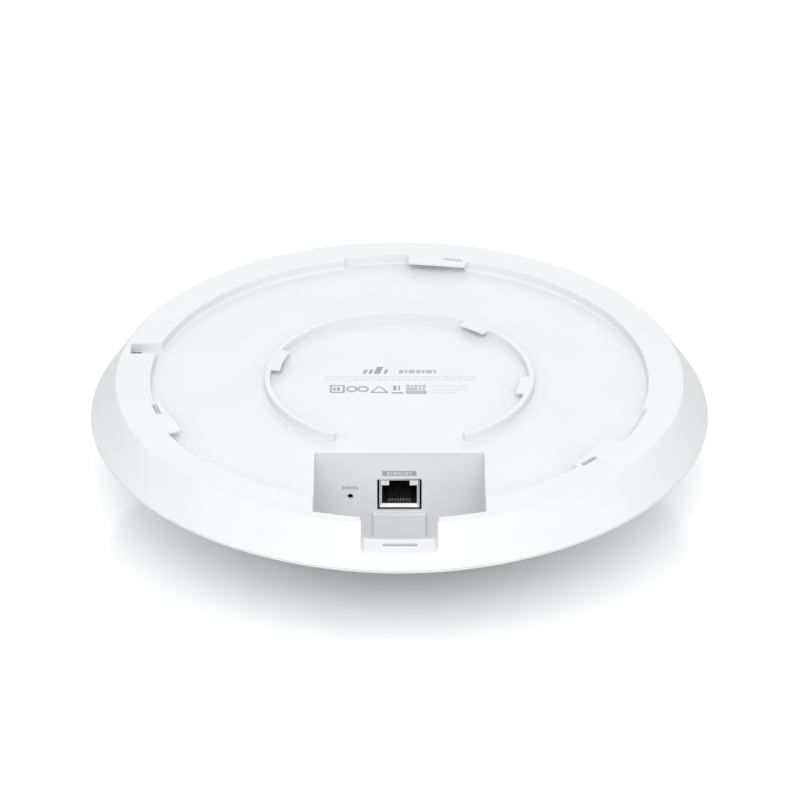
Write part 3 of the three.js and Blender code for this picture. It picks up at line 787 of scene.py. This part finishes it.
def wall_reliefs():
    """Thinner wall round the jack and behind the reset hole, seen as a dark gap from outside."""
    x0, x1, z0, z1 = JACK_WINDOW
    back = POCKET_WALL_Y + 2.5
    around = rectangle(x0 - 1.2, x1 + 1.2, z0 - 0.7, z1 + 1)
    return (
        prism("jack_relief", around, POCKET_WALL_Y + 0.5, back, "y"),
        prism("reset_relief", circle(RESET_X, RESET_Z, 2.2, 32), POCKET_WALL_Y + 1, back, "y"),
    )


def rear_housing():
    """The whole moulding. Edges are rounded before the small holes and hooks come in."""
    piece = housing_shell()
    add(piece, pocket_outside(), notch_backing(), tool_slot_backing())
    for turn, _, _ in HOOKS:
        cut(piece, bayonet_space(turn))
    cut(piece, pocket_inside(), notch(), tool_slot())
    y0, y1 = POCKET_WALL_Y - 1, POCKET_WALL_Y + 3
    cut(piece, prism("jack_window", rectangle(*JACK_WINDOW, 0.35), y0, y1, "y"))
    cut(piece, ledge_slit())
    soften(piece, CASE_EDGE, shortest=0.5)
    cut(piece, prism("reset_hole", circle(RESET_X, RESET_Z, 1, 32), y0, y1, "y"))
    cut(piece, *wall_reliefs())
    add(piece, inner_rib(), pocket_step(), *(hook(*place) for place in HOOKS))
    add(piece, *screw_bosses())
    return smooth(piece)


dress(rear_housing(), "housing_white", "housing", "rear_housing")

# ---------- network jack ----------
SHIELD_LOW, SHIELD_HIGH = box_mm("jack_shield")
SHIELD_HALF_WIDTH = SHIELD_HIGH.x
SHIELD_SHEET = 0.3
PORT_HALF_WIDTH = 6.05
PORT_BOTTOM = SHIELD_LOW.z + 1.35
PORT_SHOULDER = SHIELD_HIGH.z - 2.5  # above it are the two light windows and the latch notch
PORT_END_Y = -35.5
LATCH_HALF_WIDTH = 3.55
INSERT_FRONT_Y = SHIELD_LOW.y + 1.1
CONTACTS = [f"jack_contact_{i}" for i in range(1, 9)]


def jack_shield():
    """The pressed case: its front face folds in as a funnel round the port."""
    w, front, back = SHIELD_HALF_WIDTH, SHIELD_LOW.y, SHIELD_HIGH.y
    bottom, top = SHIELD_LOW.z, SHIELD_HIGH.z
    inner, inner_top = w - SHIELD_SHEET, top - SHIELD_SHEET
    piece = prism("jack_case", rectangle(-w, w, bottom, top, 0.35), front, back, "y")
    soften(piece, 0.1, 2)
    room = rectangle(-inner, inner, bottom + SHIELD_SHEET, inner_top)
    cut(piece, prism("room", room, INSERT_FRONT_Y - 0.1, back - SHIELD_SHEET, "y"))
    port = rectangle(-PORT_HALF_WIDTH, PORT_HALF_WIDTH, PORT_BOTTOM, PORT_SHOULDER)
    side, sill = w - 0.15, bottom + 0.15
    flared = rectangle(-side, side, sill, PORT_SHOULDER)
    cut(piece, taper("funnel", flared, port, front - 0.01, front + 0.5, "y"))
    cut(piece, prism("mouth", port, front, INSERT_FRONT_Y + 1, "y"))
    upper = rectangle(-inner, inner, PORT_SHOULDER - 0.05, inner_top)
    cut(piece, prism("upper_mouth", upper, front - 1, INSERT_FRONT_Y + 1, "y"))
    return smooth(piece, 25)


def jack_insert():
    """The black moulding: port, stepped latch channel and the comb that spaces the contacts."""
    low, high = box_mm("jack_insert")
    w, back = high.x, high.y
    outline = rectangle(-w, w, low.z, high.z, 0.2)
    piece = prism("jack_moulding", outline, INSERT_FRONT_Y, back, "y")
    port = rectangle(-PORT_HALF_WIDTH, PORT_HALF_WIDTH, PORT_BOTTOM, PORT_SHOULDER, 0.15)
    cut(piece, prism("port", port, INSERT_FRONT_Y - 1, PORT_END_Y, "y"))
    light_room = rectangle(-w - 1, w + 1, PORT_SHOULDER - 0.15, high.z + 1)
    cut(piece, prism("light_room", light_room, INSERT_FRONT_Y - 1, PORT_END_Y, "y"))
    for x0, x1 in ((-LATCH_HALF_WIDTH + 0.1, -2.1), (2.1, LATCH_HALF_WIDTH - 0.1)):
        rail = rectangle(x0, x1, PORT_SHOULDER - 0.2, high.z - 0.05, 0.1)
        add(piece, prism("rail", rail, INSERT_FRONT_Y + 2.2, PORT_END_Y + 1, "y"))
    front, back = INSERT_FRONT_Y + 0.3, PORT_END_Y + 0.2
    foot = PORT_BOTTOM - 0.2
    tooth = [(front, foot), (back, foot), (back, PORT_BOTTOM + 2.6), (front + 0.6, PORT_BOTTOM + 0.9)]
    teeth = len(CONTACTS) + 1
    for i in range(teeth):
        x = (i - (teeth - 1) / 2) * contact_pitch()
        add(piece, prism("tooth", tooth, x - 0.14, x + 0.14, "x"))
    soften(piece, 0.05, 1, shortest=0.3)
    return smooth(piece, 25)


def contact_pitch():
    first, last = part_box(CONTACTS[0])[0].x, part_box(CONTACTS[-1])[0].x
    return (last - first) / MM / (len(CONTACTS) - 1)


def light_window(side):
    """The pale window in one upper corner of the jack: side 1 is the right one, -1 the left."""
    low, high = box_mm("jack_light_right")
    x0, x1 = sorted((side * LATCH_HALF_WIDTH, side * (high.x + 0.15)))
    outline = rectangle(x0, x1, low.z - 0.05, high.z + 0.1, 0.12)
    name = "light_pipe_right" if side > 0 else "light_pipe_left"
    piece = prism(name, outline, low.y, high.y, "y")
    return smooth(soften(piece, 0.12))


def wire(name, path, radius):
    """A round wire through points in the y-z plane at one x."""
    sides = 10
    corners = []
    for k, point in enumerate(path):
        before = Vector(path[max(k - 1, 0)])
        after = Vector(path[min(k + 1, len(path) - 1)])
        along = (after - before).normalized()
        across = Vector((1, 0, 0))
        up = along.cross(across)
        for i in range(sides):
            angle = 2 * math.pi * i / sides
            offset = across * math.cos(angle) + up * math.sin(angle)
            corners.append(Vector(point) + offset * radius)
    faces = [list(range(sides)), list(range(len(corners) - sides, len(corners)))]
    for k in range(len(path) - 1):
        for i in range(sides):
            j = (i + 1) % sides
            faces.append([k * sides + i, k * sides + j, (k + 1) * sides + j, (k + 1) * sides + i])
    return new_piece(name, corners, faces)


def contact_wire(node):
    """One spring contact: it comes up over the sill, bends back and climbs to a turned-down tip."""
    low, high = box_mm(node)
    x = (low.x + high.x) / 2
    radius = 0.24
    root_y, root_z = low.y + 0.1, low.z + radius
    tip_y, tip_z = high.y - 0.4, high.z - radius
    bend = 0.5  # radius of the front bend, which turns through 72 degrees
    path = [(x, root_y, root_z - 0.75)]
    for k in range(7):
        across, up = polar(bend, 180 - 72 * k / 6)
        path.append((x, root_y + bend + across, root_z - 0.4 + up))
    path.append((x, tip_y - 1.5, tip_z - 0.16))
    path.append((x, tip_y, tip_z))
    path.append((x, tip_y + 0.3, tip_z - 0.1))
    return smooth(wire(node.replace("jack_contact", "contact_wire"), path, radius), 60)


dress(jack_shield(), "plated_steel", "housing", "jack_shield")
dress(jack_insert(), "insert_black", "housing", "jack_insert")
dress(light_window(1), "diffuser", "housing", "jack_light_right")
dress(light_window(-1), "diffuser", "housing", "jack_light_left")
for contact in CONTACTS:
    dress(contact_wire(contact), "contact_gold", "jack_contacts", contact)


def reset_plunger():
    """The switch's plunger, with a rounded face."""
    low, high = box_mm("reset_button")
    radius = (high.x - low.x) / 2
    length = high.y - low.y
    outline = rounded([(0, 0, 0), (radius, 0, 0.5), (radius, length, 0.1), (0, length, 0)])
    piece = revolve("reset_plunger", outline, steps=40)
    for vertex in piece.data.vertices:
        x, y, z = vertex.co
        vertex.co = (x + (low.x + radius) * MM, z + low.y * MM, -y + (low.z + radius) * MM)
    return smooth(piece)


dress(reset_plunger(), "button_black", "reset_button", "reset_button")

# ---------- printed marks: plain bars and shapes, no lettering ----------
INK = 0.02  # how far the ink stands proud


def print_marks(name, outlines, surface, axis, ink):
    """Thin flat shapes of ink on a flat surface; they face away from the housing's middle."""
    proud = surface - INK if axis == "y" else surface + INK
    low, high = sorted((surface, proud))
    marks = [prism("mark", outline, low, high, axis) for outline in outlines]
    work = bmesh.new()
    for mark in marks:
        work.from_mesh(mark.data)
        bpy.data.objects.remove(mark)
    mesh = bpy.data.meshes.new(name)
    work.to_mesh(mesh)
    work.free()
    piece = bpy.data.objects.new(name, mesh)
    scene.collection.objects.link(piece)
    paint(piece, ink)
    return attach(piece, "housing")


def dashes(x0, x1, y0, y1, lengths, gap):
    """A row of bars from x0 to x1 whose lengths repeat."""
    bars = []
    x = x0
    while x < x1 - gap:
        end = min(x + lengths[len(bars) % len(lengths)], x1)
        bars.append(rectangle(x, end, y0, y1))
        x = end + gap
    return bars


def slanted_bar(x, width, y0, y1, lean=0.8):
    return [(x, y0), (x + width, y0), (x + width + lean, y1), (x + lean, y1)]


def ring_marks(x, y, radius, width):
    """A ring drawn as two half bands, so that each is a simple outline."""
    halves = []
    for start in (0, 180):
        band = sector_outline(radius - width, radius, start + 6, start + 174, steps=16)
        halves.append([(a + x, b + y) for a, b in band])
    return halves


def frame_marks(x0, x1, y0, y1, width):
    """A rectangle's outline as four bars."""
    return [
        rectangle(x0, x1, y0, y0 + width),
        rectangle(x0, x1, y1 - width, y1),
        rectangle(x0, x0 + width, y0 + width + 0.05, y1 - width - 0.05),
        rectangle(x1 - width, x1, y0 + width + 0.05, y1 - width - 0.05),
    ]


def triangle_marks(x0, x1, y0, y1, width):
    """A low triangle's outline as three bars."""
    middle = (x0 + x1) / 2
    beside = middle + 0.05
    foot = y0 + width
    slope = 1.2 * width
    return [
        rectangle(x0, x1, y0, foot),
        [(x0, foot), (x0 + slope, foot), (middle, y1 - width), (middle, y1)],
        [(x1 - slope, foot), (x1, foot), (beside, y1), (beside, y1 - width)],
    ]


def floor_print():
    """The marks on the recess floor, laid out in millimetres from the object's axis."""
    title = [slanted_bar(-13.2, 1.1, 5.6, 8.6), slanted_bar(-11.2, 1.1, 5.6, 8.6)]
    title += [slanted_bar(-9.2, 2.2, 5.6, 10.6, 1.2), slanted_bar(-5.8, 1.0, 5.6, 8.6)]
    signs = frame_marks(-24.7, -19.4, -8.1, -2.6, 0.7)
    signs += dashes(-23.5, -20.4, -6.6, -4.2, (0.8, 1.1), 0.5)
    signs += ring_marks(-16.9, -5.4, 2.1, 0.8) + ring_marks(-12.9, -5.4, 2.1, 0.8)
    signs += triangle_marks(-10.3, -4.0, -8.1, -3.0, 0.7)
    signs += [rectangle(-2.8, 1.3, -8.6, -7.6)]
    signs += dashes(-2.2, 1.0, -6.3, -3.0, (1.1, 0.6), 0.7)
    print_marks("print_title", title, RECESS_FLOOR, "z", DARK_INK)
    print_marks("print_signs", signs, RECESS_FLOOR, "z", DARK_INK)
    rows = dashes(-0.2, 13.1, 6.0, 8.4, (1.6, 1.0, 2.2), 0.45)
    field = [rectangle(2.3, 9.7, -8.9, -6.5), rectangle(2.3, 6.4, -6.2, -4.6)]
    field += dashes(2.3, 9.7, -4.2, -2.4, (1.3, 0.8), 0.4)
    field += dashes(6.9, 9.7, -6.2, -4.6, (0.9,), 0.4)
    print_marks("print_field", rows + field, RECESS_FLOOR, "z", MID_INK)
    lines = dashes(-26.6, 26.9, 2.6, 3.8, (2.4, 1.2, 3.1, 1.7), 0.5)
    lines += dashes(-26.6, 26.9, 0.5, 1.7, (1.5, 2.8, 2.1), 0.5)
    lines += dashes(11.4, 25.0, -3.8, -2.8, (2.6, 1.4), 0.5)
    lines += dashes(11.4, 24.0, -6.0, -5.0, (1.8, 2.9), 0.5)
    lines += dashes(11.4, 20.0, -8.2, -7.2, (1.2, 2.2), 0.5)
    print_marks("print_lines", lines, RECESS_FLOOR, "z", PALE_INK)


def wall_print():
    """The marks on the pocket's wall: a label above the jack and dashes over the reset hole."""
    label = rectangle(-5.9, 5.9, 34.85, 36.75, 0.15)
    print_marks("jack_label", [label], POCKET_WALL_Y, "y", LABEL_INK)
    pips = dashes(-4.3, 4.1, 35.35, 36.25, (0.9, 0.6, 1.2), 0.4)
    print_marks("jack_label_pips", pips, POCKET_WALL_Y - INK, "y", PALE_INK)
    reset = dashes(RESET_X - 2.7, RESET_X + 2.7, 29.35, 30.55, (0.75, 0.6), 0.3)
    print_marks("reset_label", reset, POCKET_WALL_Y, "y", MID_INK)


floor_print()
wall_print()

# ---------- finishes of the CAD nodes ----------
for subpart in frame["record"]["subparts"]:
    paint(frame["nodes"][subpart["node"]], FINISHES[subpart["material_slot"]])

# ---------- floor, light and camera ----------
def studio_floor():
    half = 4000
    level = -0.05
    corners = [(x, y, level) for x, y in rectangle(-half, half, -half, half)]
    floor = new_piece("floor", corners, [(0, 1, 2, 3)])
    finish = Finish("floor_white", 0.12)
    cloud = finish.noise(300, 2)
    finish.colour(finish.ramp(cloud, (0.3, (0.93, 0.93, 0.935)), (0.7, (0.95, 0.95, 0.955))))
    paint(floor, finish.material)


def area_light(name, place, size, power):
    """A round soft light, in metres and watts, that faces the object."""
    target = Vector((0, 0, 0.02))
    data = bpy.data.lights.new(name, "AREA")
    data.shape = "DISK"
    data.size = size
    data.energy = power
    lamp = bpy.data.objects.new(name, data)
    lamp.location = place
    lamp.rotation_euler = (target - Vector(place)).to_track_quat("-Z", "Y").to_euler()
    scene.collection.objects.link(lamp)


def studio_light():
    """A bright white cove with wide soft lights on all sides, strongest in front."""
    world = bpy.data.worlds.new("studio")
    world.use_nodes = True
    background = world.node_tree.nodes["Background"]
    background.inputs["Color"].default_value = (1, 1, 1, 1)
    background.inputs["Strength"].default_value = 0.67
    scene.world = world
    area_light("front", (0, -2.2, 1.3), 1.8, 19.5)
    area_light("high", (0, -1.1, 1.7), 1.4, 15)
    area_light("back", (0, 1.9, 1.1), 1.4, 6.5)
    area_light("left", (-1.9, 0, 1.1), 1.4, 3.5)
    area_light("right", (1.9, 0, 1.1), 1.4, 3.5)


def camera():
    """A long lens, in front of the jack and above it."""
    elevation = math.radians(30.07)
    distance = 1.2265
    target = Vector((0.0002, 0, 0.0367))
    data = bpy.data.cameras.new("camera")
    data.lens = 154.5
    data.sensor_width = 36
    eye = bpy.data.objects.new("camera", data)
    eye.location = target + distance * Vector((0, -math.cos(elevation), math.sin(elevation)))
    eye.rotation_euler = (math.pi / 2 - elevation, 0, 0)
    scene.collection.objects.link(eye)
    scene.camera = eye


studio_floor()
studio_light()
camera()
scene.view_settings.view_transform = "Standard"
